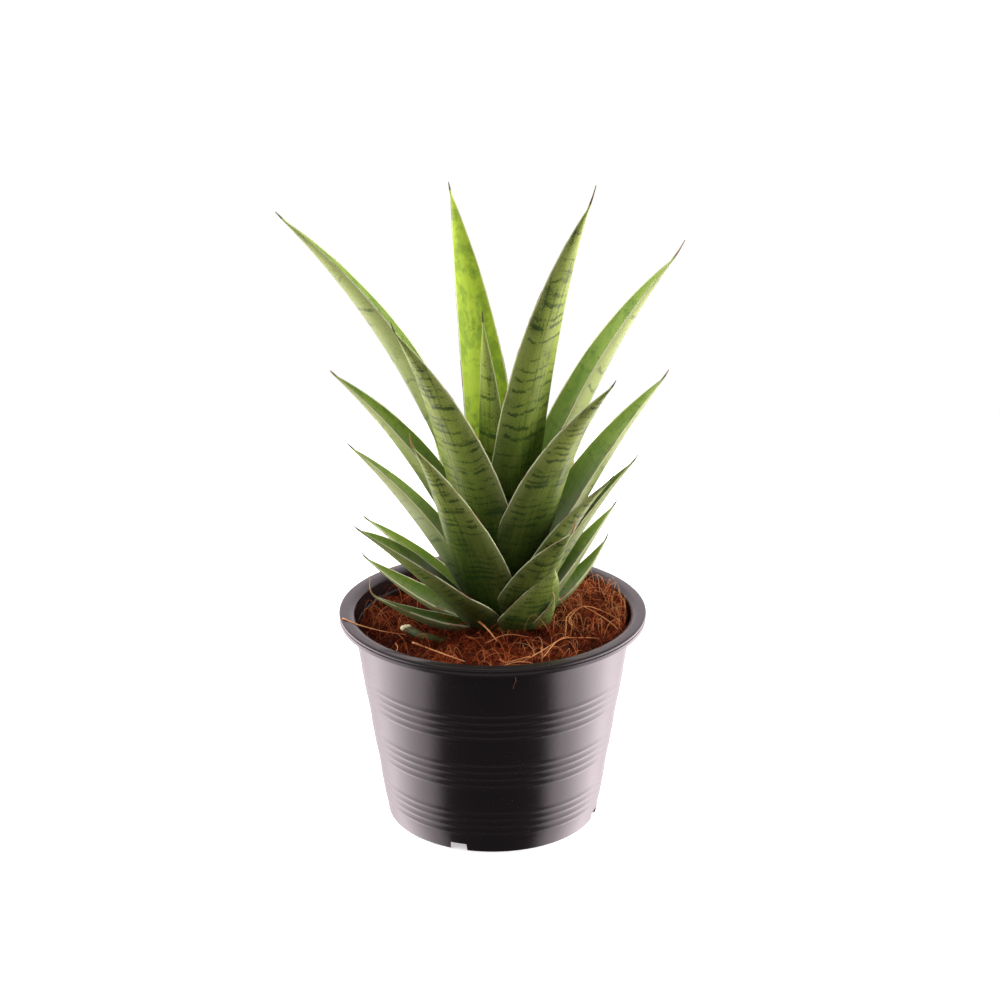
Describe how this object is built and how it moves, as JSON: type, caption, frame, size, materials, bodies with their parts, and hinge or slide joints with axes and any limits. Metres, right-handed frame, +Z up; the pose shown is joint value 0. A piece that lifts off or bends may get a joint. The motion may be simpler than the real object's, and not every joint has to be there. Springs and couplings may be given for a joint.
{
  "type": "potted snake plant",
  "caption": "Young lotus snake plant in a black plastic nursery pot: an upright rosette of stiff, channelled, dark-banded green leaves with hard points, rooted in coir.",
  "frame": {"origin": "under the middle of the whole, on the plane that the pot stands on", "axes": "+Z up, along the pot's axis; -Y is the front, with the two broad crossed leaves; +X is to the viewer's right"},
  "size_m": [0.1636, 0.13, 0.2802],
  "materials": {
    "pot_plastic": "satin black injection-moulded polypropylene",
    "coir_fibre": "loose damp red-brown coir fibre and chips",
    "stem_flesh": "smooth pale green living stem",
    "leaf_flesh": "waxy green succulent leaf with dark cross-bands and a pale margin"
  },
  "bodies": {
    "root": {"pot": "pot_plastic", "coir": "coir_fibre", "stem": "stem_flesh", "cut_leaf": "leaf_flesh", "leaf_01": "leaf_flesh", "leaf_02": "leaf_flesh", "leaf_03": "leaf_flesh", "leaf_04": "leaf_flesh", "leaf_05": "leaf_flesh", "leaf_06": "leaf_flesh", "leaf_07": "leaf_flesh", "leaf_08": "leaf_flesh", "leaf_09": "leaf_flesh", "leaf_10": "leaf_flesh", "leaf_11": "leaf_flesh", "leaf_12": "leaf_flesh", "leaf_13": "leaf_flesh", "leaf_14": "leaf_flesh", "leaf_15": "leaf_flesh", "leaf_16": "leaf_flesh", "leaf_17": "leaf_flesh", "leaf_18": "leaf_flesh", "leaf_19": "leaf_flesh", "leaf_20": "leaf_flesh", "leaf_21": "leaf_flesh", "leaf_22": "leaf_flesh", "leaf_23": "leaf_flesh", "leaf_24": "leaf_flesh", "leaf_25": "leaf_flesh", "leaf_26": "leaf_flesh"}
  },
  "joints": []
}
